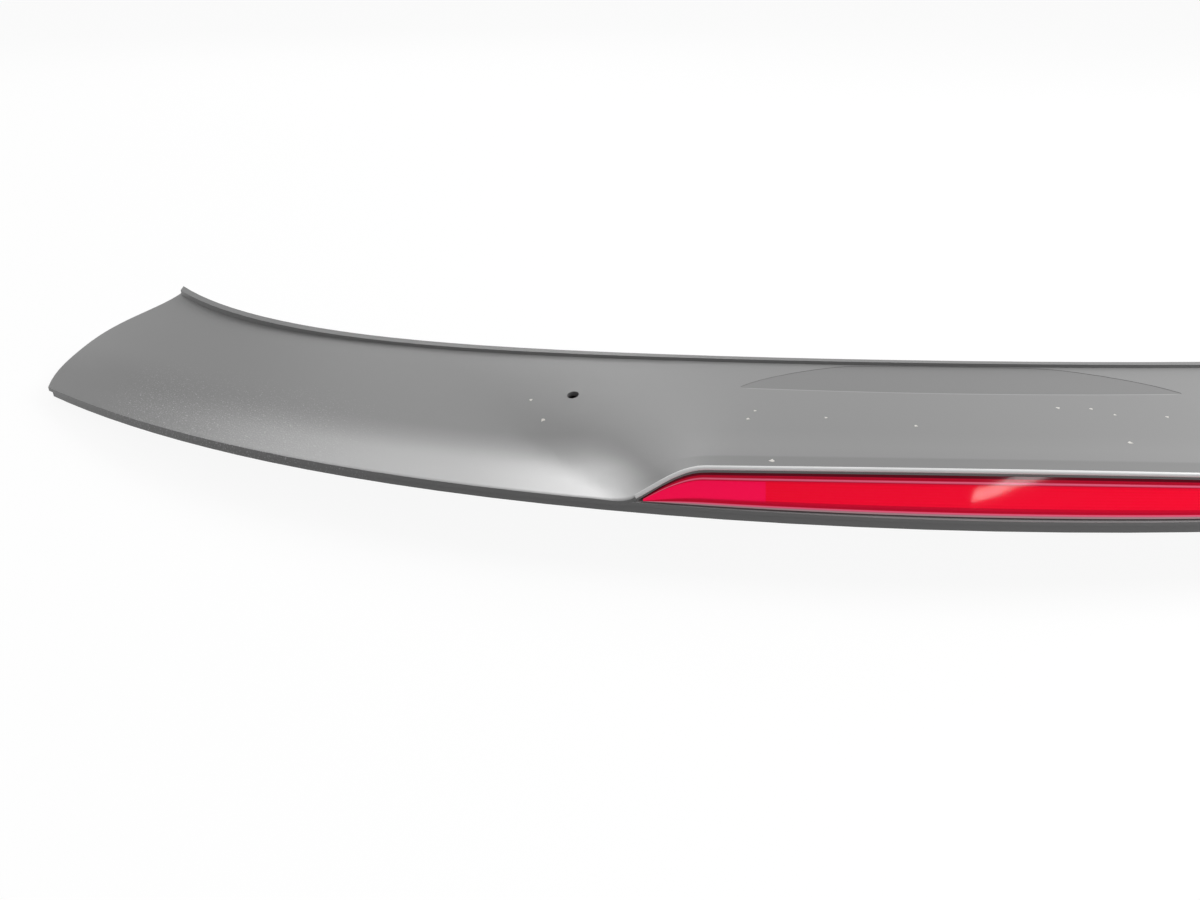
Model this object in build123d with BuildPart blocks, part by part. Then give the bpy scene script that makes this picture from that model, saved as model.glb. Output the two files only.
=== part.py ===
"""Car rear spoiler with a built-in high brake lamp, in millimetres.

+X runs along the car's width, +Y points to the roof, +Z is up. The origin is the centre of the four fixing studs,
on the plane where their seals sit on the tailgate.
"""

import os
from math import cos, hypot, pi, sqrt

from build123d import *

os.makedirs("parts", exist_ok=True)

# Plan: the trailing edge and the roof edge both sweep forward toward the ends, and the sides bulge between them
HALF_WIDTH = 600.0
TRAIL_BACK = 117.5
TRAIL_SWEEP = 156.0
TRAIL_SWEEP_END = 56.0
ROOF_CHORD = 145.0
ROOF_HALF = 544.0
ROOF_SWEEP = 82.0
ROOF_SWEEP_END = 103.0
SIDE_BULGE = 27.5

# Heights above the stud seats
TRAIL_HEIGHT = 25.0
CROWN = 22.5
CROWN_END = 7.5
CROWN_TIP = 3.5
ROOF_RISE = 24.0
ROOF_LIFT = 3.0
STRIP_LOW = 2.0
STRIP_HIGH = 4.5
STRIP_RAMP = 220.0
STRIP_WIDTH = 4.0
STRIP_END = 1.0
STRIP_SETBACK = 0.4
KICK = 0.24
KICK_SOFT = 0.1

# Outer skin
SKIN_WALL = 2.8
HOLE_X = -223.6
HOLE_Y = -4.9
HOLE_DIAMETER = 7.0

# Raised surround of the lamp, and the ledge under the lens
POD_HEIGHT = 21.0
POD_CROWN = 3.2
POD_FLAT = 152.0
POD_END = 194.0
POD_SOFT_IN = 60.0
POD_SOFT_OUT = 150.0
POD_EASE = 0.75
POD_SET = 12.5
LEDGE_OVER = 12.0
LEDGE_DEPTH = 4.5
LEDGE_INSET = 0.4

# Scoop at the roof edge
SCOOP_HALF = 126.0
SCOOP_FROM_ROOF = 42.9
SCOOP_BOW = 7.4
SCOOP_ARCH = 36.0
SCOOP_TIP = 1.5
SCOOP_LAND = 0.6
SCOOP_DEPTH = 1.6
SCOOP_STEP = 0.15

# Lip of the skin along the trailing edge, and the lower shell behind it
LIP_HEIGHT = 7.0
LIP_INSET = 1.5
LIP_WALL = 2.2
LIP_END = 3.0
LIP_GAP = 0.2
LOW_MID = 10.0
LOW_WALL = 2.5
GLUE_GAP = 0.6
RIB_SHARES = (0.405, 0.655)
RIB_SHARE = 0.004

# Clearance of pieces that sit on one another
SEAT_GAP = 0.05

# Fixing studs and their seals
STUD_SPACING_X = 640.0
STUD_SPACING_Y = 50.0
STUD_DIAMETER = 6.0
STUD_REACH = 14.0
STUD_HEAD = 10.0
STUD_HEAD_HEIGHT = 4.0
STUD_FLOOR = 6.0
STUD_POINT = 4.0
STUD_POINT_LENGTH = 2.0
STUD_CLEARANCE = 0.05
STUD_NECK = 7.0
WELL_WIDTH = 14.0
WELL_WALL = 4.0
WELL_HEADROOM = 4.0
SEAL_HEIGHT = 3.0
SEAL_WIDTH = 21.0
SEAL_GAP = 0.2

# Retaining clips
CLIP_X = 150.0
CLIP_X_END = 430.0
CLIP_FROM_ROOF = 24.0
CLIP_SEAT = 16.0
CLIP_WIDTH = 6.0
CLIP_THICK = 3.0
CLIP_DEPTH = 8.0
CLIP_FLANGE = 15.0
CLIP_FLANGE_HEIGHT = 2.0
CLIP_BARB = 4.5
CLIP_BARB_HEIGHT = 3.5
CLIP_BARBS = 4
CLIP_BOSS = 18.0
CLIP_CLEARANCE = 0.05

# End pads
PAD_X = 520.0
PAD_FROM_TRAIL = 70.0
PAD_LENGTH = 36.0
PAD_WIDTH = 16.0
PAD_HEIGHT = 5.0
PAD_SEAT = 12.0

# Brake lamp: lens, ridged light guide, housing
LAMP_LEAN = 0.635
LENS_SIDE = 0.26
LENS_BACK = 2.0
LENS_WALL = 2.5
LENS_GAP = 0.5
LENS_END = 0.6
GUIDE_END = 4.0
GUIDE_WALL = 3.0
GUIDE_GAP = 1.0
RIDGE_COUNT = 6
RIDGE_DEPTH = 0.8
WELD_GAP = 0.15
HOUSING_HALF = 146.0
HOUSING_LOW = 2.0
HOUSING_HIGH = 12.5
HOUSING_DEPTH = 34.0
HOUSING_WALL = 2.0
LUG_WIDTH = 20.0

# Brake lamp: light source, header, grommet and fixings
BOARD_WALL = 1.6
BOARD_END = 10.0
LED_COUNT = 12
LED_WIDTH = 3.5
LED_HEIGHT = 2.8
LED_DEPTH = 1.9
HEADER_X = 60.0
HEADER_WIDTH = 22.0
HEADER_HEIGHT = 8.0
HEADER_DEPTH = 7.0
PIN_SPACING = 5.0
PIN_WIDTH = 1.2
PIN_REACH = 6.0
PIN_TAIL = 13.0
PIN_GAP = 0.2
GROMMET_IN = 52.0
GROMMET_WIDTH = 20.0
GROMMET_DEPTH = 12.0
GROMMET_RIM = 3.0
GROMMET_HEIGHT = 5.0
GROMMET_CLEARANCE = 0.05
SCREW_IN = 23.0
SCREW_DIAMETER = 4.0
SCREW_BITE = 8.0
SCREW_HEAD = 7.0
SCREW_HEAD_HEIGHT = 2.6
SCREW_SEAT_DROP = 8.5
SCREW_CLEARANCE = 0.05
SCREW_HEAD_GAP = 0.3
POST_WIDTH = 13.0
POST_FOOT = 3.0
GASKET_HALF = 120.0
GASKET_IN = 18.0
GASKET_WIDTH = 6.0

# Working values: a span past every piece, and the points across a shaped face
TALL = 120.0
SKIN_COLUMNS = 100
SKIN_ROWS = 24
COLUMNS = 24
ROWS = 8
FACE_TOLERANCES = (0.1, 0.2, 0.4)
FACE_STRAY = 0.5
UP = (Align.CENTER, Align.CENTER, Align.MIN)
DOWN = (Align.CENTER, Align.CENTER, Align.MAX)
BACK = (Align.CENTER, Align.MAX, Align.MIN)
REAR = (Align.CENTER, Align.MAX, Align.CENTER)
FRONT = (Align.CENTER, Align.MIN, Align.CENTER)


def smooth(t):
    """Soft step from 0 to 1."""
    t = min(max(t, 0.0), 1.0)
    return t * t * (3 - 2 * t)


def trail_y(x):
    """Place of the trailing edge."""
    t = x / HALF_WIDTH
    return TRAIL_SWEEP * t**2 + TRAIL_SWEEP_END * t**4 - TRAIL_BACK


def roof_y(x):
    """Place of the roof edge."""
    t = abs(x) / ROOF_HALF
    return ROOF_CHORD + ROOF_SWEEP * t**2 + ROOF_SWEEP_END * t**5 - TRAIL_BACK


def crown(x):
    """Drop of the spoiler toward its ends."""
    t = x / HALF_WIDTH
    return CROWN * t**2 + CROWN_END * t**4 + CROWN_TIP * t**10


def strip_height(x):
    """Height of the roof edge strip, which grows toward its ends."""
    return STRIP_LOW + (STRIP_HIGH - STRIP_LOW) * smooth((abs(x) - ROOF_HALF + STRIP_RAMP) / STRIP_RAMP)


def rise(x):
    """Rise of the skin from the trailing edge to the roof edge, below the strip."""
    return ROOF_RISE + ROOF_LIFT * (x / ROOF_HALF) ** 2 - strip_height(x)


def kick(w):
    """Soft bend between the level trailing band and the even slope to the roof."""
    return (w - KICK + sqrt((w - KICK) ** 2 + KICK_SOFT**2)) / 2


def pod(x, w):
    """Share of the lamp surround's height: full over the lamp, steep at its ends and softer toward the roof."""
    inner = POD_FLAT - POD_SOFT_IN * w
    outer = POD_END + POD_SOFT_OUT * w
    return smooth(max((outer - abs(x)) / (outer - inner), 0.0) ** POD_EASE)


def pod_height(x):
    """Height of the lamp surround over the trailing edge, lower toward its ends."""
    return POD_HEIGHT - POD_CROWN * (x / POD_FLAT) ** 2


def pod_set(x):
    """Setback of the surround's rear edge, which leans with the lens."""
    return POD_SET * pod(x, 0) * (pod_height(x) - crown(x)) / POD_HEIGHT


def base_z(x, w):
    """Height of the skin without the lamp surround, from the trailing edge at w = 0 to the roof edge at w = 1."""
    share = (kick(w) - kick(0)) / (kick(1) - kick(0))
    return TRAIL_HEIGHT - crown(x) + rise(x) * share


def skin_z(x, w):
    """Height of the outer skin, where the surround runs straight from over the lamp to the roof edge."""
    deck = TRAIL_HEIGHT - crown(x) + pod_height(x) + (rise(x) - pod_height(x)) * w
    return base_z(x, w) + (deck - base_z(x, w)) * pod(x, w)


def plan(s, w, inset=0.0):
    """Place in plan: s runs from the left side to the right, w from the trailing edge to the roof edge."""
    bulge = SIDE_BULGE * 6.75 * w * (1 - w) ** 2
    x = s * (HALF_WIDTH + (ROOF_HALF - HALF_WIDTH) * w + bulge - inset)
    return x, trail_y(x) + inset + w * (roof_y(x) - trail_y(x) - 2 * inset)


def share(x, y):
    """Share of the way from the trailing edge to the roof edge."""
    return (y - trail_y(x)) / (roof_y(x) - trail_y(x))


def skin_height(x, y):
    """Height of the outer skin over a place in plan."""
    rear = trail_y(x) + pod_set(x)
    return skin_z(x, (y - rear) / (roof_y(x) - rear))


def skin_point(s, w):
    x, y = plan(s, w)
    return x, y + pod_set(x) * (1 - w), skin_z(x, w)


def low_z(s, x, w):
    """Height of the lower shell's underside, level with the lip at the edges and deeper between them."""
    return base_z(x, w) - LIP_HEIGHT - LOW_MID * 4 * w * (1 - w) * (1 - s**4)


def patch(place, columns, rows):
    """Smooth face through a grid of places, at the finest tolerance that stays within the grid's heights."""
    grid = [[place(2 * i / columns - 1, j / rows) for j in range(rows + 1)] for i in range(columns + 1)]
    heights = [point[2] for line in grid for point in line]
    for tolerance in FACE_TOLERANCES:
        face = Face.make_surface_from_array_of_points(grid, tol=tolerance, min_deg=3, max_deg=3)
        box = face.bounding_box()
        if box.min.Z > min(heights) - FACE_STRAY and box.max.Z < max(heights) + FACE_STRAY:
            break
    return face


def between(upper, under, columns=COLUMNS, rows=ROWS):
    """Solid between two four-sided faces."""
    faces = [patch(place, columns, rows) for place in (upper, under)]
    walls = [Face.make_surface_from_curves(*pair) for pair in zip(faces[0].edges(), faces[1].edges())]
    return Solid(Shell(faces + walls))


def bay(start, end):
    """Space in the lower shell between two ribs, given as shares of the half width."""

    def place(t, w, height):
        s = start + (end - start) * (t + 1) / 2
        x, y = plan(s, w, shell_inset + LOW_WALL)
        return x, y, height(s, x, w)

    def top(t, w):
        return place(t, w, lambda s, x, w: base_z(x, w))

    def floor(t, w):
        return place(t, w, lambda s, x, w: low_z(s, x, w) + LOW_WALL)

    return between(top, floor)


def ledge_point(drop):
    def place(t, w):
        x = t * (POD_END + LEDGE_OVER)
        return x, trail_y(x) + LEDGE_INSET + w * LEDGE_DEPTH, base_z(x, 0) - drop

    return place


def lip_point(drop):
    def place(t, w):
        x = t * (HALF_WIDTH - LIP_END)
        return x, trail_y(x) + LIP_INSET + w * LIP_WALL, base_z(x, 0) - drop

    return place


def scoop_point(drop):
    """Points across the scoop: deepest at its rear edge and flush where it runs out toward the roof."""
    rear = roof_y(0) - SCOOP_FROM_ROOF
    front = roof_y(0) - STRIP_WIDTH - STRIP_SETBACK - SCOOP_LAND

    def place(t, v):
        low = rear + SCOOP_BOW * t**2
        arch = rear + SCOOP_BOW + SCOOP_TIP + SCOOP_ARCH * max(1 - t**2, 0.0) ** 0.85
        high = (arch + front - hypot(arch - front, 2)) / 2
        x = t * SCOOP_HALF
        y = low + v * (high - low)
        return x, y, skin_height(x, y) + (SKIN_WALL if drop == 0 else -drop * (1 - t**4) * (1 - v) - SCOOP_STEP)

    return place


def strip_point(lift):
    """Points across the roof edge strip, on its top or within the skin."""

    def place(t, w):
        x = t * (ROOF_HALF - STRIP_END)
        width = STRIP_WIDTH * hypot(1, roof_y(abs(x) + 1) - roof_y(x))
        y = roof_y(x) - STRIP_SETBACK - width * (1 - w)
        return x, y, skin_height(x, y) + (strip_height(x) if lift else -SKIN_WALL / 2)

    return place


def rim_height(s, x, y, w):
    """Height of the lower shell's rim, a glue gap under the skin."""
    return base_z(x, share(x, y)) - SKIN_WALL - GLUE_GAP


def shell_point(height):
    def place(s, w):
        x, y = plan(s, w, shell_inset)
        return x, y, height(s, x, y, w)

    return place


def lens_point(depth):
    def place(t, w):
        x = t * lens_half
        tall = max(pod_height(x) * pod(x, 0) - SKIN_WALL - 2 * LENS_GAP, LENS_END)
        z = base_z(x, 0) + LENS_GAP + w * tall
        return x, trail_y(x) + LENS_BACK + depth + LAMP_LEAN * (z - TRAIL_HEIGHT), z

    return place


def half_trail(half):
    """Trailing edge in plan, from the middle to one side."""
    steps = [half * k / 4 for k in range(5)]
    slope = trail_y(half + 1) - trail_y(half)
    return Edge.make_spline([(x, trail_y(x), 0) for x in steps], tangents=[(1, 0, 0), (1, slope, 0)])


def gasket_point(height):
    def place(t, w):
        x = t * GASKET_HALF
        y = trail_y(x) + GASKET_IN + w * GASKET_WIDTH
        return x, y, height(x, y)

    return place


shell_inset = LIP_INSET + LIP_WALL + LIP_GAP
lens_half = POD_END - LENS_SIDE * (POD_END - POD_FLAT)
cavity_half = HOUSING_HALF - LUG_WIDTH
board_half = cavity_half - BOARD_END
screw_x = HOUSING_HALF - LUG_WIDTH / 2
housing_foot = TRAIL_HEIGHT + HOUSING_LOW
housing_top = TRAIL_HEIGHT + HOUSING_HIGH
housing_back = trail_y(0) + HOUSING_DEPTH
lens_rear = LENS_BACK + LENS_WALL
screw_seat = TRAIL_HEIGHT - SCREW_SEAT_DROP
pilot_top = housing_foot + SCREW_BITE
screw_corner = SCREW_HEAD / 2 / cos(pi / 6)
screw_pocket = 2 * (screw_corner + SCREW_HEAD_GAP)
lamp_mid = (housing_foot + housing_top) / 2
board_back = housing_back - HOUSING_WALL - SEAT_GAP
pin_places = [HEADER_X + k * PIN_SPACING for k in (-1, 0, 1)]
grommet_y = trail_y(HEADER_X) + GROMMET_IN
grommet_seat = low_z(0, HEADER_X, share(HEADER_X, grommet_y)) - LOW_WALL
pad_y = trail_y(PAD_X) + PAD_FROM_TRAIL
pad_top = low_z(PAD_X / HALF_WIDTH, PAD_X, share(PAD_X, pad_y)) + LOW_WALL / 2
sides = (-1, 1)
stud_places = [Location((i * STUD_SPACING_X / 2, j * STUD_SPACING_Y / 2, 0)) for i in sides for j in sides]
clip_places = [
    Location((side * x, roof_y(x) - CLIP_FROM_ROOF, CLIP_SEAT - crown(x)))
    for x in (CLIP_X, CLIP_X_END)
    for side in sides
]
pad_places = [Location((side * PAD_X, pad_y, PAD_SEAT - crown(PAD_X))) for side in sides]
screw_places = [Location((side * screw_x, trail_y(screw_x) + SCREW_IN, screw_seat)) for side in sides]

with BuildPart() as outer_skin:
    extrude(patch(skin_point, SKIN_COLUMNS, SKIN_ROWS), amount=SKIN_WALL, dir=(0, 0, -1))
    add(between(ledge_point(LEDGE_INSET), ledge_point(SKIN_WALL - LEDGE_INSET)))
    add(between(lip_point(SKIN_WALL / 2), lip_point(LIP_HEIGHT), COLUMNS, 2))
    add(between(scoop_point(0), scoop_point(SCOOP_DEPTH), 2 * COLUMNS), mode=Mode.SUBTRACT)
    with Locations((HOLE_X, HOLE_Y, 0)):
        Cylinder(HOLE_DIAMETER / 2, 2 * TALL, mode=Mode.SUBTRACT)

outer_skin.part.label = "outer_skin"
export_step(outer_skin.part, "parts/outer_skin.step")

with BuildPart() as roof_edge_strip:
    add(between(strip_point(True), strip_point(False), 4 * COLUMNS, 2))
    with Locations((0, 0, SEAT_GAP)):
        add(outer_skin.part, mode=Mode.SUBTRACT)

roof_edge_strip.part.label = "roof_edge_strip"
export_step(roof_edge_strip.part, "parts/roof_edge_strip.step")

with BuildPart() as lower_shell:
    add(between(shell_point(rim_height), shell_point(lambda s, x, y, w: low_z(s, x, w))))
    stops = [-1, *[-r for r in reversed(RIB_SHARES)], *RIB_SHARES, 1]
    for start, end in zip(stops, stops[1:]):
        add(bay(max(start + RIB_SHARE / 2, -1), min(end - RIB_SHARE / 2, 1)), mode=Mode.SUBTRACT)
    for place in stud_places:
        x, y, _ = place.position
        well_top = base_z(x, share(x, y)) - SKIN_WALL - WELL_HEADROOM
        with Locations((x, y, SEAL_HEIGHT)):
            Box(WELL_WIDTH + 2 * WELL_WALL, WELL_WIDTH + 2 * WELL_WALL, well_top - SEAL_HEIGHT, align=UP)
    for place in clip_places:
        x, y, seat = place.position
        with Locations(place):
            Box(CLIP_BOSS, CLIP_BOSS, low_z(0, x, share(x, y)) + LOW_MID / 2 - seat, align=UP)
    with Locations(*pad_places):
        Box(PAD_LENGTH, PAD_WIDTH, pad_top - PAD_SEAT + crown(PAD_X), align=UP)
    with Locations(*[place * Pos(0, 0, -POST_FOOT) for place in screw_places]):
        Box(POST_WIDTH, POST_WIDTH, housing_foot - SEAT_GAP - screw_seat + POST_FOOT, align=UP)
    with Locations((HEADER_X, grommet_y, grommet_seat)):
        Box(GROMMET_WIDTH + 4 * GROMMET_RIM, GROMMET_DEPTH + 4 * GROMMET_RIM, 2 * LOW_WALL, align=UP)
        Box(GROMMET_WIDTH, GROMMET_DEPTH, TALL, mode=Mode.SUBTRACT)
    with Locations(*screw_places):
        Box(screw_pocket, screw_pocket, TALL, align=DOWN, mode=Mode.SUBTRACT)
        Cylinder(SCREW_DIAMETER / 2 + SCREW_CLEARANCE, TALL, align=UP, mode=Mode.SUBTRACT)
    with Locations(*[place * Pos(0, 0, SEAL_HEIGHT + STUD_FLOOR) for place in stud_places]):
        Box(WELL_WIDTH, WELL_WIDTH, TALL, align=UP, mode=Mode.SUBTRACT)
    with Locations(*stud_places):
        Box(STUD_NECK + 2 * STUD_CLEARANCE, STUD_NECK + 2 * STUD_CLEARANCE, TALL, align=UP, mode=Mode.SUBTRACT)
    with Locations(*clip_places):
        Box(
            CLIP_WIDTH + 2 * CLIP_CLEARANCE,
            CLIP_THICK + 2 * CLIP_CLEARANCE,
            CLIP_DEPTH + CLIP_CLEARANCE,
            align=UP,
            mode=Mode.SUBTRACT,
        )

lower_shell.part.label = "lower_shell"
export_step(lower_shell.part, "parts/lower_shell.step")

with BuildPart() as fixing_studs:
    with BuildSketch(*[Plane(place * Pos(0, 0, SEAL_HEIGHT + STUD_FLOOR)) for place in stud_places]):
        RegularPolygon(STUD_HEAD / 2 / cos(pi / 6), 6)
    extrude(amount=STUD_HEAD_HEIGHT)
    with Locations(*stud_places):
        Box(STUD_NECK, STUD_NECK, SEAL_HEIGHT + STUD_FLOOR, align=UP)
        Cylinder(STUD_DIAMETER / 2, STUD_REACH - STUD_POINT_LENGTH, align=DOWN)
        Cylinder(STUD_POINT / 2, STUD_REACH, align=DOWN)

fixing_studs.part.label = "fixing_studs"
export_step(fixing_studs.part, "parts/fixing_studs.step")

with BuildPart() as stud_seals:
    with Locations(*stud_places):
        Box(SEAL_WIDTH, SEAL_WIDTH, SEAL_HEIGHT - SEAT_GAP, align=UP)
        Box(STUD_NECK + 2 * SEAL_GAP, STUD_NECK + 2 * SEAL_GAP, TALL, mode=Mode.SUBTRACT)

stud_seals.part.label = "stud_seals"
export_step(stud_seals.part, "parts/stud_seals.step")

# One push-in blade clip, cut from its barbed outline, then set at every place
with BuildPart() as clip:
    with BuildSketch(Plane.XZ):
        with BuildLine():
            foot = -CLIP_FLANGE_HEIGHT
            barbs = []
            for k in range(CLIP_BARBS):
                top = foot - k * CLIP_BARB_HEIGHT
                barbs += [(CLIP_BARB, top - CLIP_BARB_HEIGHT / 3), (CLIP_WIDTH / 2, top - CLIP_BARB_HEIGHT)]
            Polyline((0, CLIP_DEPTH), (CLIP_WIDTH / 2, CLIP_DEPTH), (CLIP_WIDTH / 2, foot), *barbs, (0, barbs[-1][1]))
            mirror(about=Plane.YZ)
        make_face()
    extrude(amount=CLIP_THICK / 2, both=True)
    with Locations((0, 0, -SEAT_GAP)):
        Box(CLIP_FLANGE, CLIP_FLANGE, CLIP_FLANGE_HEIGHT, align=DOWN)

with BuildPart() as retaining_clips:
    with Locations(*clip_places):
        add(clip.part)

retaining_clips.part.label = "retaining_clips"
export_step(retaining_clips.part, "parts/retaining_clips.step")

with BuildPart() as end_pads:
    with Locations(*[place * Pos(0, 0, -SEAT_GAP) for place in pad_places]):
        Box(PAD_LENGTH, PAD_WIDTH, PAD_HEIGHT, align=DOWN)

end_pads.part.label = "end_pads"
export_step(end_pads.part, "parts/end_pads.step")

with BuildPart() as lamp_lens:
    add(between(lens_point(0), lens_point(LENS_WALL), 3 * COLUMNS, 4))

lamp_lens.part.label = "lamp_lens"
export_step(lamp_lens.part, "parts/lamp_lens.step")

# Ridged guide, drawn as a section at the middle and swept along the trailing edge to one side
with BuildPart() as light_guide:
    guide_low = housing_foot + HOUSING_WALL + SEAT_GAP
    guide_high = housing_top - HOUSING_WALL - SEAT_GAP
    pitch = (guide_high - guide_low) / RIDGE_COUNT
    with BuildSketch(Plane.YZ):
        with BuildLine():
            rear = trail_y(0) + lens_rear + GUIDE_GAP
            ridges = []
            for k in range(RIDGE_COUNT):
                z = guide_low + k * pitch
                lean = rear + LAMP_LEAN * (z - TRAIL_HEIGHT)
                ridges += [(lean + RIDGE_DEPTH, z), (lean + LAMP_LEAN * pitch / 2, z + pitch / 2)]
            end = rear + RIDGE_DEPTH + LAMP_LEAN * (guide_high - TRAIL_HEIGHT)
            Polyline(
                *ridges,
                (end, guide_high),
                (end + GUIDE_WALL, guide_high),
                (ridges[0][0] + GUIDE_WALL, guide_low),
                close=True,
            )
        make_face()
    sweep(path=half_trail(cavity_half - GUIDE_END))
    mirror(about=Plane.YZ)

light_guide.part.label = "light_guide"
export_step(light_guide.part, "parts/light_guide.step")

# Space in front of the housing, behind the leaning lens
with BuildPart() as lamp_front:
    with BuildSketch(Plane.YZ):
        with BuildLine():
            front = trail_y(0) + lens_rear + WELD_GAP
            drop = LAMP_LEAN * HOUSING_HIGH
            Polyline(
                (front - drop, TRAIL_HEIGHT - HOUSING_HIGH),
                (front + 2 * drop, TRAIL_HEIGHT + 2 * HOUSING_HIGH),
                (front - HOUSING_DEPTH, TRAIL_HEIGHT + 2 * HOUSING_HIGH),
                (front - HOUSING_DEPTH, TRAIL_HEIGHT - HOUSING_HIGH),
                close=True,
            )
        make_face()
    sweep(path=half_trail(HOUSING_HALF + LUG_WIDTH))
    mirror(about=Plane.YZ)

with BuildPart() as lamp_housing:
    height = HOUSING_HIGH - HOUSING_LOW
    with Locations((0, housing_back, housing_foot)):
        Box(2 * HOUSING_HALF, HOUSING_DEPTH, height, align=BACK)
    add(lamp_front.part, mode=Mode.SUBTRACT)
    with Locations((0, housing_back - HOUSING_WALL, housing_foot + HOUSING_WALL)):
        Box(2 * cavity_half, HOUSING_DEPTH, height - 2 * HOUSING_WALL, align=BACK, mode=Mode.SUBTRACT)
    with Locations(*screw_places):
        Cylinder(SCREW_DIAMETER / 2 + SCREW_CLEARANCE, pilot_top - screw_seat, align=UP, mode=Mode.SUBTRACT)
    with Locations((HEADER_X, housing_back, lamp_mid)):
        Box(PIN_SPACING * 3, 4 * HOUSING_WALL, PIN_WIDTH * 3, mode=Mode.SUBTRACT)

lamp_housing.part.label = "lamp_housing"
export_step(lamp_housing.part, "parts/lamp_housing.step")

with BuildPart() as led_board:
    with Locations((0, board_back, lamp_mid)):
        Box(2 * board_half, BOARD_WALL, HOUSING_HIGH - HOUSING_LOW - 2 * HOUSING_WALL - 2 * SEAT_GAP, align=REAR)
    with Locations(*[(x, board_back, lamp_mid) for x in pin_places]):
        Box(PIN_WIDTH + 2 * PIN_GAP, 4 * BOARD_WALL, PIN_WIDTH + 2 * PIN_GAP, mode=Mode.SUBTRACT)

led_board.part.label = "led_board"
export_step(led_board.part, "parts/led_board.step")

with BuildPart() as leds:
    with Locations((0, board_back - BOARD_WALL - SEAT_GAP, lamp_mid)):
        with GridLocations(2 * board_half / LED_COUNT, 1, LED_COUNT, 1):
            Box(LED_WIDTH, LED_DEPTH, LED_HEIGHT, align=REAR)

leds.part.label = "leds"
export_step(leds.part, "parts/leds.step")

with BuildPart() as lamp_connector:
    with Locations((HEADER_X, housing_back + SEAT_GAP, lamp_mid)):
        Box(HEADER_WIDTH, HEADER_DEPTH, HEADER_HEIGHT, align=FRONT)
    with Locations(*[(x, housing_back, lamp_mid) for x in pin_places]):
        Box(PIN_WIDTH, PIN_REACH, PIN_WIDTH, align=REAR)
        Box(PIN_WIDTH, PIN_TAIL, PIN_WIDTH, align=FRONT)

lamp_connector.part.label = "lamp_connector"
export_step(lamp_connector.part, "parts/lamp_connector.step")

# Rubber plug where the car's lead passes the lower shell
with BuildPart() as lead_grommet:
    with Locations((HEADER_X, grommet_y, grommet_seat - SEAT_GAP)):
        Box(GROMMET_WIDTH + 2 * GROMMET_RIM, GROMMET_DEPTH + 2 * GROMMET_RIM, GROMMET_RIM, align=DOWN)
        Box(
            GROMMET_WIDTH - 2 * GROMMET_CLEARANCE,
            GROMMET_DEPTH - 2 * GROMMET_CLEARANCE,
            GROMMET_HEIGHT + 2 * LOW_WALL,
            align=UP,
        )

lead_grommet.part.label = "lead_grommet"
export_step(lead_grommet.part, "parts/lead_grommet.step")

with BuildPart() as lamp_screws:
    with BuildSketch(*[Plane(place * Pos(0, 0, -SCREW_HEAD_HEIGHT - SEAT_GAP)) for place in screw_places]):
        RegularPolygon(screw_corner, 6)
    extrude(amount=SCREW_HEAD_HEIGHT)
    with Locations(*[place * Pos(0, 0, -SEAT_GAP) for place in screw_places]):
        Cylinder(SCREW_DIAMETER / 2, pilot_top - screw_seat - SCREW_HEAD_GAP, align=UP)

lamp_screws.part.label = "lamp_screws"
export_step(lamp_screws.part, "parts/lamp_screws.step")

with BuildPart() as lamp_gasket:
    add(
        between(
            gasket_point(lambda x, y: skin_height(x, y) - SKIN_WALL / 2),
            gasket_point(lambda x, y: housing_top + SEAT_GAP),
            2 * COLUMNS,
            2,
        )
    )
    with Locations((0, 0, -SEAT_GAP)):
        add(outer_skin.part, mode=Mode.SUBTRACT)

lamp_gasket.part.label = "lamp_gasket"
export_step(lamp_gasket.part, "parts/lamp_gasket.step")
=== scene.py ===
"""Looks of the rear spoiler: satin grey paint, red lamp, soft studio light and the photo's view."""

from math import cos, pi, radians, sin

import bpy
from mathutils import Matrix, Vector


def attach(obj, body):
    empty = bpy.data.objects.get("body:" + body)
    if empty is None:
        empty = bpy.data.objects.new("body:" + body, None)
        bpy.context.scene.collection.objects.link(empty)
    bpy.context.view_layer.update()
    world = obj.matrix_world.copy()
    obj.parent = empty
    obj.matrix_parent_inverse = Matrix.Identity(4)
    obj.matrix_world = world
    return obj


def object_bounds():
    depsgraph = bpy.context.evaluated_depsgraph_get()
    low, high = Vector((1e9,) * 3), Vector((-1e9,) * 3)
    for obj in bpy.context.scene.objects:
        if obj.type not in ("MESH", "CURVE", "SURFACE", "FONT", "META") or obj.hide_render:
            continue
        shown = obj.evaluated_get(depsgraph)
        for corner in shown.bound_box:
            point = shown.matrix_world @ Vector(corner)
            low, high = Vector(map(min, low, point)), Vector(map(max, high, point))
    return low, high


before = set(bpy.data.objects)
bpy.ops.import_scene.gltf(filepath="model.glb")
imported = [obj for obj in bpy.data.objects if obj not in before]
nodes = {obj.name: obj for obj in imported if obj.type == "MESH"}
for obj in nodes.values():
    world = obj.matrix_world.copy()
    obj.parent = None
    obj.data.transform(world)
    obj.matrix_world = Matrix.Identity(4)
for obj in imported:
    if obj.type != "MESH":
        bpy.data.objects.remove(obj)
cad_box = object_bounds()
scene = bpy.context.scene
scene.view_settings.view_transform = "Standard"

# The part's own sizes in millimetres: trailing edge, lamp surround, lens and light guide
MM = 0.001
HALF_WIDTH = 600.0
TRAIL_BACK = 117.5
TRAIL_SWEEP = 156.0
TRAIL_SWEEP_END = 56.0
TRAIL_HEIGHT = 25.0
CROWN = 22.5
CROWN_END = 7.5
POD_HEIGHT = 21.0
POD_CROWN = 3.2
POD_FLAT = 152.0
POD_END = 194.0
POD_EASE = 0.75
POD_SET = 12.5
SKIN_WALL = 2.8
LENS_GAP = 0.5
LENS_END = 0.6
GUIDE_HALF = 122.0

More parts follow.
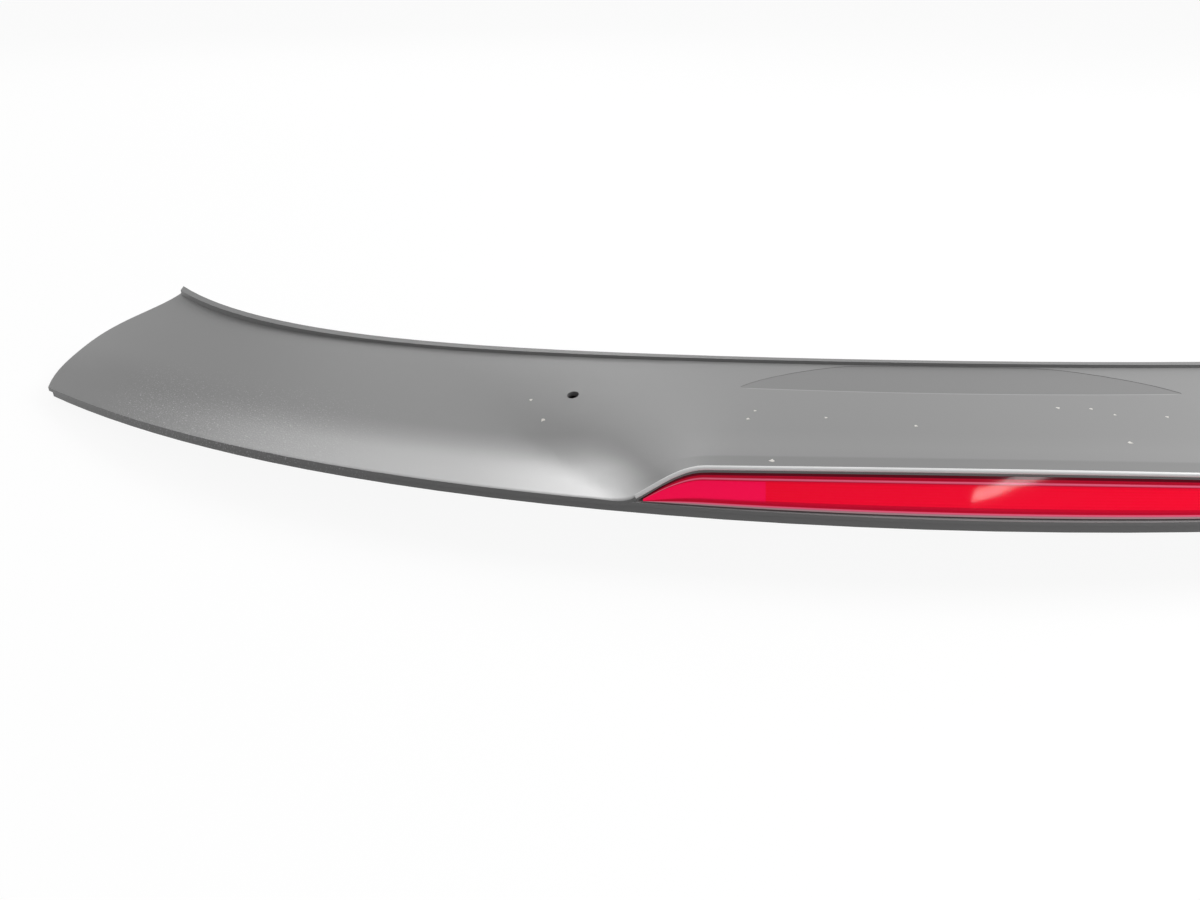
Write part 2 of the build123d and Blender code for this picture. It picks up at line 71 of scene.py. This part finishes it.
# Scoop at the roof edge: its outline in millimetres, and the tones of its painted shade and painted
# highlight
SCOOP_HALF = 126.0
SCOOP_REAR = -15.4
SCOOP_BOW = 7.4
SCOOP_FOOT = -6.5
SCOOP_ARCH = 36.0
SCOOP_CURVE = 0.85
SCOOP_EDGE = 0.7
SCOOP_BLUR = 0.5
SCOOP_TIP = (1.0, 0.98)
SCOOP_EDGE_TIP = (1.0, 0.9)
SCOOP_SHADE_TONE = 0.85
SCOOP_HIGHLIGHT_TONE = 1.35

# Grey paint, and its bands of painted shade and highlight behind the lamp, from the bead forward
PAINT = 0.2
PAINT_ROUGH = 0.45
BAND_SPAN = 40.0
BAND_SIDE = 16.0
BAND_SHADE_TONES = ((0.0, 1.0), (0.07, 0.86), (0.28, 0.84), (0.33, 1.04), (0.6, 1.06), (1.0, 1.0))

# Painted sheen: paler paint along the trailing edge beside the lamp, standing for light on the level
# band there; spans run from none of it to all of it
SHEEN_AHEAD = (56.0, 24.0)
SHEEN_EDGE = (0.0, 3.0)
SHEEN_OUT = (520.0, 150.0)
SHEEN_LEAN = -0.6
SHEEN_LAMP = (POD_FLAT + 14.0, POD_END)
SHEEN_TONE = 2.3
NEAR_OUT = (290.0, 200.0)
NEAR_AHEAD = (44.0, 14.0)
SHEEN_NEAR_TONE = 3.5

# Painted shade at the tips and on steep faces, and grain toward the left end with pale flecks of
# painted sheen
TIP_OUT = (390.0, 540.0)
TIP_AHEAD = (80.0, 20.0)
TIP_SHADE_TONE = 0.62
STEEP = (0.7, 0.2)
STEEP_SHADE_TONE = 0.62
GRAIN_RIGHT = (-300.0, -400.0)
GRAIN_LEFT = (-560.0, -500.0)
GRAIN_AHEAD = (90.0, 30.0)
GRAIN_SCALE = 1000
GRAIN_DEPTH = 0.0004
GRAIN_BUMP = 0.35
SPECK_SHARE = (0.55, 0.8)
SPECK_SHEEN_TONE = 0.42

# Red lens: gloss, glow, and the fine lines of the ridges behind it
LENS_ROUGH = 0.04
LENS_SPECULAR = 0.05
LENS_GLOW = 0.35
ZONE_BLUR = 0.5
RIDGES = 8
RIDGE_SPAN = 0.6
RIDGE_TONE = 0.95
RIDGE_SWING = 0.1

# Moulded surfaces: width of the uneven patches in grains, spread of gloss, strength of the relief
PATCH_GRAINS = 12
GLOSS_SPREAD = 0.2
MOULD_BUMP = 0.4

# Rounded bead around the lamp, drawn pale grey as a painted highlight on the grey paint
BEAD_HALF = 187.0
BEAD_RADIUS = 1.2
BEAD_IN = 0.7
BEAD_DROP = 0.5
BEAD_PROBE = 0.5
BEAD_STEPS = 96
BEAD_SIDES = 10

# Paint chips on the skin: place along and across, and radius
CHIPS = (
    (-248.4, -5.2, 0.7),
    (-239.8, -24.9, 0.9),
    (-125.8, -47.0, 0.7),
    (-121.0, -37.5, 0.6),
    (-83.6, -46.7, 0.6),
    (-37.5, -56.6, 0.7),
    (46.7, -31.8, 0.8),
    (64.9, -31.8, 0.7),
    (75.2, -38.5, 0.6),
    (69.4, -71.0, 0.9),
    (103.5, -38.7, 0.7),
    (-118.4, -92.9, 1.0),
)
CHIP_SIZE = 1.4
CHIP_UNEVEN = 0.35
CHIP_LOBES = 3
CHIP_LIFT = 0.06
CHIP_SIDES = 7
OVER_SKIN = 100.0

# Floor, surroundings and lamps, in metres and watts: name, place, target, width and height, power
FLOOR_SIZE = 30
FLOOR_DROP = 0.002
FLOOR_TONE = 0.5
FLOOR_ROUGH = 0.9
FLOOR_WHITE = 0.85
FLOOR_GLOW = 1.08
AMBIENT = 0.4
LAMPS = (
    ("window", (-0.85, 2.1, 1.22), (-0.3, 0, 0), (1.4, 0.6), 11),
    ("side", (1.5, 0.2, 1.3), (0.2, 0, 0), (1.2, 1.2), 42),
    ("top", (-0.3, 0.3, 2.0), (-0.3, 0, 0), (2.0, 1.0), 3),
    ("card", (0.49, -0.99, 0.69), (0.03, -0.105, 0.035), (0.34, 0.02), 1.2),
)

# Camera fitted to the photographed edges
CAMERA_PLACE = (-0.1936, -0.5385, 0.2849)
PITCH = radians(28)
YAW = radians(1.5)
ROLL = radians(0.2)
FOCAL_LENGTH = 30
SENSOR_WIDTH = 36
NEAREST = 0.01


def srgb(red, green, blue):
    """Linear colour from screen values."""
    return tuple(((c / 255 + 0.055) / 1.055) ** 2.4 for c in (red, green, blue)) + (1.0,)


def grey(tone):
    """Grey colour."""
    return tone, tone, tone, 1


def smooth(t):
    """Soft step from 0 to 1."""
    t = min(max(t, 0.0), 1.0)
    return t * t * (3 - 2 * t)


def crown(x):
    """Drop of the trailing edge toward the ends."""
    t = (x / HALF_WIDTH) ** 2
    return (CROWN + CROWN_END * t) * t


def rim(x):
    """Rear edge of the lamp surround."""
    t = (x / HALF_WIDTH) ** 2
    share = smooth(max((POD_END - abs(x)) / (POD_END - POD_FLAT), 0.0) ** POD_EASE)
    height = POD_HEIGHT - POD_CROWN * (x / POD_FLAT) ** 2
    setback = POD_SET * share * (height - crown(x)) / POD_HEIGHT
    y = (TRAIL_SWEEP + TRAIL_SWEEP_END * t) * t - TRAIL_BACK + setback
    return Vector((x, y, TRAIL_HEIGHT - crown(x) + height * share))


def calc(tree, operation, *values):
    """One step of arithmetic in a material."""
    node = tree.nodes.new("ShaderNodeMath")
    node.operation = operation
    for socket, value in zip(node.inputs, values):
        if isinstance(value, (int, float)):
            socket.default_value = value
        else:
            tree.links.new(value, socket)
    return node.outputs[0]


def product(tree, first, *others):
    """Product of several shares in a material."""
    for share in others:
        first = calc(tree, "MULTIPLY", first, share)
    return first


def squared(tree, value, unit):
    """Square of a value counted in a unit."""
    return calc(tree, "POWER", calc(tree, "DIVIDE", value, unit), 2.0)


def axes(tree, vector):
    """Three parts of a vector."""
    parts = tree.nodes.new("ShaderNodeSeparateXYZ")
    tree.links.new(vector, parts.inputs[0])
    return [parts.outputs[axis] for axis in "XYZ"]


def place(tree):
    """Place on the part, in millimetres."""
    point = tree.nodes.new("ShaderNodeNewGeometry")
    return [calc(tree, "DIVIDE", part, MM) for part in axes(tree, point.outputs["Position"])]


def soft_step(tree, value, start, end):
    """Soft step in a material, from 0 at the start to 1 at the end."""
    node = tree.nodes.new("ShaderNodeMapRange")
    node.interpolation_type = "SMOOTHSTEP"
    tree.links.new(value, node.inputs["Value"])
    node.inputs["From Min"].default_value = start
    node.inputs["From Max"].default_value = end
    return node.outputs["Result"]


def ramp(tree, value, stops):
    """Colours along a value."""
    node = tree.nodes.new("ShaderNodeValToRGB")
    tree.links.new(value, node.inputs["Fac"])
    band = node.color_ramp.elements
    band[0].position, band[1].position = stops[0][0], stops[-1][0]
    band[0].color, band[1].color = stops[0][1], stops[-1][1]
    for where, colour in stops[1:-1]:
        band.new(where).color = colour
    return node.outputs["Color"]


def blend(tree, share, first, second, mode="MIX"):
    """Mix of two colours."""
    node = tree.nodes.new("ShaderNodeMix")
    node.data_type = "RGBA"
    node.blend_type = mode
    for socket, value in zip((node.inputs[0], node.inputs[6], node.inputs[7]), (share, first, second)):
        if isinstance(value, bpy.types.NodeSocket):
            tree.links.new(value, socket)
        else:
            socket.default_value = value
    return node.outputs[2]


def noise(tree, scale):
    """Uneven pattern that is fixed to the piece."""
    point = tree.nodes.new("ShaderNodeTexCoord")
    node = tree.nodes.new("ShaderNodeTexNoise")
    node.inputs["Scale"].default_value = scale
    tree.links.new(point.outputs["Object"], node.inputs["Vector"])
    return node.outputs["Fac"]


def bump(tree, height, depth, strength):
    """Fine relief on a material's surface."""
    node = tree.nodes.new("ShaderNodeBump")
    node.inputs["Distance"].default_value = depth
    if isinstance(strength, bpy.types.NodeSocket):
        tree.links.new(strength, node.inputs["Strength"])
    else:
        node.inputs["Strength"].default_value = strength
    tree.links.new(height, node.inputs["Height"])
    tree.links.new(node.outputs["Normal"], tree.nodes["Principled BSDF"].inputs["Normal"])


def paint(name, colour, rough, metallic=0.0):
    """Plain surface."""
    material = bpy.data.materials.new(name)
    material.use_nodes = True
    shader = material.node_tree.nodes["Principled BSDF"]
    shader.inputs["Base Color"].default_value = (*colour[:3], 1)
    shader.inputs["Roughness"].default_value = rough
    shader.inputs["Metallic"].default_value = metallic
    return material


def moulded(name, colour, rough, grain=400, depth=0.0002, uneven=0.12, metallic=0.0):
    """Moulded or plated surface with fine grain, and slightly uneven tone and gloss."""
    material = paint(name, colour, rough, metallic)
    tree = material.node_tree
    shader = tree.nodes["Principled BSDF"]
    broad = noise(tree, grain / PATCH_GRAINS)
    darker, lighter = ((*(c * share for c in colour[:3]), 1) for share in (1 - uneven, 1 + uneven))
    tree.links.new(blend(tree, broad, darker, lighter), shader.inputs["Base Color"])
    gloss = calc(tree, "MULTIPLY_ADD", broad, GLOSS_SPREAD, rough - GLOSS_SPREAD / 2)
    tree.links.new(gloss, shader.inputs["Roughness"])
    bump(tree, noise(tree, grain), depth, MOULD_BUMP)
    return material


def scoop_shares(tree, out, y):
    """Shares of the scoop's painted shade inside and of the painted highlight along its rear edge."""
    t = squared(tree, out, SCOOP_HALF)
    rear = calc(tree, "SUBTRACT", y, calc(tree, "MULTIPLY_ADD", t, SCOOP_BOW, SCOOP_REAR))
    left_over = calc(tree, "MAXIMUM", calc(tree, "SUBTRACT", 1.0, t), 0.0)
    arch = calc(tree, "POWER", left_over, SCOOP_CURVE)
    front = calc(tree, "SUBTRACT", calc(tree, "MULTIPLY_ADD", arch, SCOOP_ARCH, SCOOP_FOOT), y)
    inside = product(
        tree,
        soft_step(tree, rear, 0, SCOOP_EDGE),
        soft_step(tree, front, -SCOOP_BLUR, SCOOP_BLUR),
        soft_step(tree, t, *SCOOP_TIP),
    )
    edge = product(
        tree,
        soft_step(tree, rear, -2 * SCOOP_EDGE, -SCOOP_EDGE / 2),
        soft_step(tree, rear, SCOOP_EDGE, 0),
        soft_step(tree, t, *SCOOP_EDGE_TIP),
    )
    return inside, edge


def painted_lamp_shade(tree, out, u, ahead):
    """Painted shade and highlight: bands of tone behind the lamp, darker in the valley behind the bead
    and lighter past the crease, which follow the surround's rear edge.
    """
    sag = calc(tree, "MULTIPLY", u, POD_CROWN * (HALF_WIDTH / POD_FLAT) ** 2 + CROWN)
    behind = calc(tree, "SUBTRACT", ahead, POD_SET)
    behind = calc(tree, "MULTIPLY_ADD", sag, POD_SET / POD_HEIGHT, behind)
    stops = [(where, grey(tone)) for where, tone in BAND_SHADE_TONES]
    bands = ramp(tree, calc(tree, "DIVIDE", behind, BAND_SPAN), stops)
    over_lamp = soft_step(tree, out, POD_FLAT + BAND_SIDE, POD_FLAT)
    return blend(tree, over_lamp, grey(1.0), bands)


def painted_sheen(tree, out, ahead):
    """Share and tone of the painted sheen: paler paint that stands for light beside the lamp."""
    beside = calc(tree, "MULTIPLY_ADD", ahead, SHEEN_LEAN, out)
    share = product(
        tree,
        soft_step(tree, ahead, *SHEEN_AHEAD),
        soft_step(tree, ahead, *SHEEN_EDGE),
        soft_step(tree, beside, *SHEEN_LAMP),
        soft_step(tree, out, *SHEEN_OUT),
    )
    near = product(tree, soft_step(tree, out, *NEAR_OUT), soft_step(tree, ahead, *NEAR_AHEAD))
    return share, blend(tree, near, grey(SHEEN_TONE), grey(SHEEN_NEAR_TONE))


def satin_paint():
    """Grey paint with painted light: painted sheen beside the lamp, painted shade and highlight behind
    the lamp and at the scoop, painted shade at the tips and on steep faces, and grain at the left with
    pale flecks of painted sheen.
    """
    material = paint("grey paint", grey(PAINT), PAINT_ROUGH)
    tree = material.node_tree
    x, y, _ = place(tree)
    out = calc(tree, "ABSOLUTE", x)
    u = squared(tree, out, HALF_WIDTH)
    sweep = calc(tree, "MULTIPLY", calc(tree, "MULTIPLY_ADD", u, TRAIL_SWEEP_END, TRAIL_SWEEP), u)
    ahead = calc(tree, "SUBTRACT", y, calc(tree, "SUBTRACT", sweep, TRAIL_BACK))

    inside, edge = scoop_shares(tree, out, y)
    # painted shade at the tips, near the trailing edge
    tip = product(tree, soft_step(tree, out, *TIP_OUT), soft_step(tree, ahead, *TIP_AHEAD))
    # painted shade on steep faces such as the trailing lip, by the tilt of their normal
    facing = tree.nodes.new("ShaderNodeNewGeometry")
    steep = soft_step(tree, axes(tree, facing.outputs["Normal"])[2], *STEEP)
    # painted shade and highlight behind the lamp, the base of the tone
    tone = painted_lamp_shade(tree, out, u, ahead)
    for share, layer in (
        # painted sheen beside the lamp
        painted_sheen(tree, out, ahead),
        # painted shade inside the scoop
        (inside, grey(SCOOP_SHADE_TONE)),
        # painted highlight along the scoop's rear edge
        (edge, grey(SCOOP_HIGHLIGHT_TONE)),
        # painted shade at the tips
        (tip, grey(TIP_SHADE_TONE)),
        # painted shade on steep faces
        (steep, grey(STEEP_SHADE_TONE)),
    ):
        tone = blend(tree, share, tone, layer)
    colour = blend(tree, 1.0, grey(PAINT), tone, "MULTIPLY")

    grain = noise(tree, GRAIN_SCALE)
    left = product(
        tree,
        soft_step(tree, x, *GRAIN_RIGHT),
        soft_step(tree, x, *GRAIN_LEFT),
        soft_step(tree, ahead, *GRAIN_AHEAD),
    )
    bump(tree, grain, GRAIN_DEPTH, calc(tree, "MULTIPLY", left, GRAIN_BUMP))
    # pale flecks on the grain at the left end, a painted sheen
    specks = product(tree, soft_step(tree, grain, *SPECK_SHARE), left)
    colour = blend(tree, specks, colour, grey(SPECK_SHEEN_TONE))
    tree.links.new(colour, tree.nodes["Principled BSDF"].inputs["Base Color"])
    return material


def lens_level(tree, out, z):
    """Share of the lens's height, which falls with the surround toward the ends."""
    room = calc(tree, "DIVIDE", calc(tree, "SUBTRACT", POD_END, out), POD_END - POD_FLAT)
    side = calc(tree, "POWER", calc(tree, "MAXIMUM", room, 0.0), POD_EASE)
    sag = calc(tree, "MULTIPLY", squared(tree, out, POD_FLAT), POD_CROWN)
    height = product(tree, calc(tree, "SUBTRACT", POD_HEIGHT, sag), soft_step(tree, side, 0, 1))
    tall = calc(tree, "MAXIMUM", calc(tree, "SUBTRACT", height, SKIN_WALL + 2 * LENS_GAP), LENS_END)
    t = squared(tree, out, HALF_WIDTH)
    drop = calc(tree, "MULTIPLY", calc(tree, "MULTIPLY_ADD", t, CROWN_END, CROWN), t)
    foot = calc(tree, "SUBTRACT", TRAIL_HEIGHT + LENS_GAP, drop)
    return calc(tree, "DIVIDE", calc(tree, "SUBTRACT", z, foot), tall)


def lens_bands(tree, level, middle):
    """Level bands of the lens, from its foot to its top edge: pale pink bevels as painted highlight,
    shaded red bands as painted shade of the inner walls, and deep red at the top edge as painted shadow
    under the rim.
    """
    # Greyish foot; pale pink painted highlight on the bevels; deep reds as painted shade on the inner
    # walls and painted shadow under the rim
    foot = srgb(150, 120, 125)
    bevel_highlight = srgb(214, 92, 122)
    shaded_red = srgb(178, 2, 40)
    edge = srgb(96, 6, 26)
    stops = (
        (0.0, foot),
        (0.04, foot),
        (0.055, bevel_highlight),
        (0.08, bevel_highlight),
        (0.1, shaded_red),
        (0.17, shaded_red),
        (0.26, middle),
        (0.74, middle),
        (0.79, shaded_red),
        (0.81, bevel_highlight),
        (0.84, bevel_highlight),
        (0.86, shaded_red),
        (0.92, shaded_red),
        (0.94, edge),
        (1.0, edge),
    )
    return ramp(tree, level, stops)


def red_lens():
    """Red lens, drawn opaque with a slight glow: level bands with painted highlight and shade, and fine
    ridges over the light guide.
    """
    over_guide, plain = srgb(236, 4, 44), srgb(244, 10, 74)
    material = paint("red lens", over_guide, LENS_ROUGH)
    tree = material.node_tree
    shader = tree.nodes["Principled BSDF"]
    shader.inputs["Specular IOR Level"].default_value = LENS_SPECULAR
    x, _, z = place(tree)
    out = calc(tree, "ABSOLUTE", x)
    level = lens_level(tree, out, z)
    beyond = soft_step(tree, out, GUIDE_HALF - ZONE_BLUR, GUIDE_HALF + ZONE_BLUR)
    colour = blend(tree, beyond, lens_bands(tree, level, over_guide), lens_bands(tree, level, plain))
    wave = calc(tree, "SINE", calc(tree, "MULTIPLY", level, 2 * pi * RIDGES / RIDGE_SPAN))
    ridges = product(tree, wave, calc(tree, "SUBTRACT", 1.0, beyond))
    dim = calc(tree, "MULTIPLY_ADD", ridges, RIDGE_SWING, RIDGE_TONE)
    shade = tree.nodes.new("ShaderNodeCombineXYZ")
    for axis in shade.inputs:
        tree.links.new(dim, axis)
    colour = blend(tree, 1.0, colour, shade.outputs[0], "MULTIPLY")
    tree.links.new(colour, shader.inputs["Base Color"])
    tree.links.new(colour, shader.inputs["Emission Color"])
    shader.inputs["Emission Strength"].default_value = LENS_GLOW
    return material


def seen(tree):
    """Share of rays that show the plain white surroundings: the camera's, and mirrored or bent ones."""
    rays = tree.nodes.new("ShaderNodeLightPath")
    bent = calc(tree, "MAXIMUM", rays.outputs["Is Glossy Ray"], rays.outputs["Is Transmission Ray"])
    return calc(tree, "MAXIMUM", rays.outputs["Is Camera Ray"], bent)


def mix_shaders(tree, share, first, second):
    """Mix of two surfaces."""
    node = tree.nodes.new("ShaderNodeMixShader")
    for socket, value in zip(node.inputs, (share, first, second)):
        tree.links.new(value, socket)
    return node.outputs[0]


def white_floor():
    """Pale floor: nearly plain white with a light shadow under the part, and clear from below."""
    material = paint("pale floor", grey(FLOOR_TONE), FLOOR_ROUGH)
    tree = material.node_tree
    glow = tree.nodes.new("ShaderNodeEmission")
    glow.inputs["Strength"].default_value = FLOOR_GLOW
    clear = tree.nodes.new("ShaderNodeBsdfTransparent")
    below = tree.nodes.new("ShaderNodeNewGeometry")
    matt = tree.nodes["Principled BSDF"].outputs[0]
    top = mix_shaders(tree, calc(tree, "MULTIPLY", seen(tree), FLOOR_WHITE), matt, glow.outputs[0])
    surface = mix_shaders(tree, below.outputs["Backfacing"], top, clear.outputs[0])
    tree.links.new(surface, tree.nodes["Material Output"].inputs["Surface"])
    return material


# Finish of each piece of the part
black = moulded("black moulding", grey(0.02), 0.5)
foam = moulded("foam", grey(0.02), 0.9, grain=900, depth=0.0005, uneven=0.3)
white = moulded("white moulding", (0.7, 0.7, 0.68), 0.5, uneven=0.04)
zinc = moulded("zinc plate", (0.55, 0.55, 0.53), 0.35, depth=0.00005, metallic=1.0)
finishes = {
    "outer_skin": satin_paint(),
    "roof_edge_strip": moulded("strip paint", grey(0.17), 0.45, depth=0.00005, uneven=0.05),
    "lower_shell": moulded("grey moulding", grey(0.13), 0.55),
    "lamp_lens": red_lens(),
    "light_guide": moulded("red guide", (0.6, 0.004, 0.03), 0.3, depth=0.00005),
    "lamp_housing": black,
    "led_board": white,
    "leds": white,
    "lamp_connector": black,
    "lead_grommet": foam,
    "lamp_gasket": foam,
    "lamp_screws": zinc,
    "fixing_studs": zinc,
    "stud_seals": foam,
    "retaining_clips": white,
    "end_pads": foam,
}
for node, material in finishes.items():
    surface = nodes[node].data.materials
    surface.clear()
    surface.append(material)


def add_mesh(name, points, faces, material):
    """Scene piece that rides on the part."""
    mesh = bpy.data.meshes.new(name)
    mesh.from_pydata(points, [], faces)
    mesh.materials.append(material)
    piece = bpy.data.objects.new(name, mesh)
    scene.collection.objects.link(piece)
    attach(piece, "root")
    return piece


def lamp_bead():
    """Rounded bead: rings along the surround's rear edge, closed at both ends, in pale grey that is a
    painted highlight.
    """
    points, faces = [], []
    for k in range(BEAD_STEPS + 1):
        x = -BEAD_HALF * cos(pi * k / BEAD_STEPS)
        middle = rim(x) + Vector((0, BEAD_IN, -BEAD_DROP))
        along = (rim(x + BEAD_PROBE) - rim(x - BEAD_PROBE)).normalized()
        out = along.cross(Vector((0, 0, 1))).normalized()
        top = out.cross(along)
        for j in range(BEAD_SIDES):
            angle = 2 * pi * j / BEAD_SIDES
            points.append((middle + (out * cos(angle) + top * sin(angle)) * BEAD_RADIUS) * MM)
    for k in range(BEAD_STEPS):
        for j in range(BEAD_SIDES):
            a, b = k * BEAD_SIDES + j, k * BEAD_SIDES + (j + 1) % BEAD_SIDES
            faces.append((a, b, b + BEAD_SIDES, a + BEAD_SIDES))
    last = BEAD_STEPS * BEAD_SIDES
    faces.append(tuple(reversed(range(BEAD_SIDES))))
    faces.append(tuple(range(last, last + BEAD_SIDES)))
    # pale grey as a painted highlight on the bead
    bead_highlight = moulded("bead painted highlight", grey(0.7), 0.35, depth=0.00005, uneven=0.04)
    piece = add_mesh("lamp_bead", points, faces, bead_highlight)
    for face in piece.data.polygons:
        face.use_smooth = True


def paint_chips():
    """Paint chips: small uneven flakes that lie on the skin."""
    skin = nodes["outer_skin"]
    points, faces = [], []
    for x, y, radius in CHIPS:
        start = skin.matrix_world.inverted() @ (Vector((x, y, OVER_SKIN)) * MM)
        _, spot, normal, _ = skin.ray_cast(start, Vector((0, 0, -1)))
        middle = spot + normal * CHIP_LIFT * MM
        across = normal.cross(Vector((0, 1, 0))).normalized()
        along = normal.cross(across)
        first = len(points)
        for j in range(CHIP_SIDES):
            angle = 2 * pi * j / CHIP_SIDES
            reach = CHIP_SIZE * radius * (1 + CHIP_UNEVEN * sin(CHIP_LOBES * angle + x)) * MM
            corner = middle + (across * cos(angle) + along * sin(angle)) * reach
            points.append(skin.matrix_world @ corner)
        faces.append(tuple(range(first, len(points))))
    add_mesh("paint_chips", points, faces, moulded("bare primer", (0.6, 0.58, 0.55), 0.6))


def softbox(name, where, target, size, power):
    """Flat lamp that faces a target."""
    data = bpy.data.lights.new(name, "AREA")
    data.energy = power
    data.shape = "RECTANGLE"
    data.size, data.size_y = size
    lamp = bpy.data.objects.new(name, data)
    scene.collection.objects.link(lamp)
    lamp.location = where
    lamp.rotation_euler = (Vector(target) - Vector(where)).to_track_quat("-Z", "Y").to_euler()


def photo_camera():
    """Camera that looks forward and down at the part, as the photo does."""
    turn = Matrix.Rotation(YAW, 3, "Z")
    ahead = turn @ Vector((0, cos(PITCH), -sin(PITCH)))
    right = turn @ Vector((1, 0, 0))
    up = turn @ Vector((0, sin(PITCH), cos(PITCH)))
    right, up = right * cos(ROLL) + up * sin(ROLL), up * cos(ROLL) - right * sin(ROLL)
    view = bpy.data.cameras.new("photo view")
    view.lens = FOCAL_LENGTH
    view.sensor_width = SENSOR_WIDTH
    view.clip_start = NEAREST
    camera = bpy.data.objects.new("photo view", view)
    scene.collection.objects.link(camera)
    facing = Matrix((right, up, -ahead)).transposed().to_4x4()
    camera.matrix_world = Matrix.Translation(CAMERA_PLACE) @ facing
    scene.camera = camera


lamp_bead()
paint_chips()

# Floor just under the part
bpy.ops.mesh.primitive_plane_add(size=FLOOR_SIZE, location=(0, 0, cad_box[0].z - FLOOR_DROP))
floor = bpy.context.object
floor.name = "floor"
floor.data.materials.append(white_floor())

# White surroundings for the camera, dimmer for the light
world = bpy.data.worlds.new("studio")
scene.world = world
world.use_nodes = True
background = world.node_tree.nodes["Background"]
background.inputs["Color"].default_value = grey(1.0)
glow = calc(world.node_tree, "MULTIPLY_ADD", seen(world.node_tree), 1 - AMBIENT, AMBIENT)
world.node_tree.links.new(glow, background.inputs["Strength"])

for lamp in LAMPS:
    softbox(*lamp)
photo_camera()
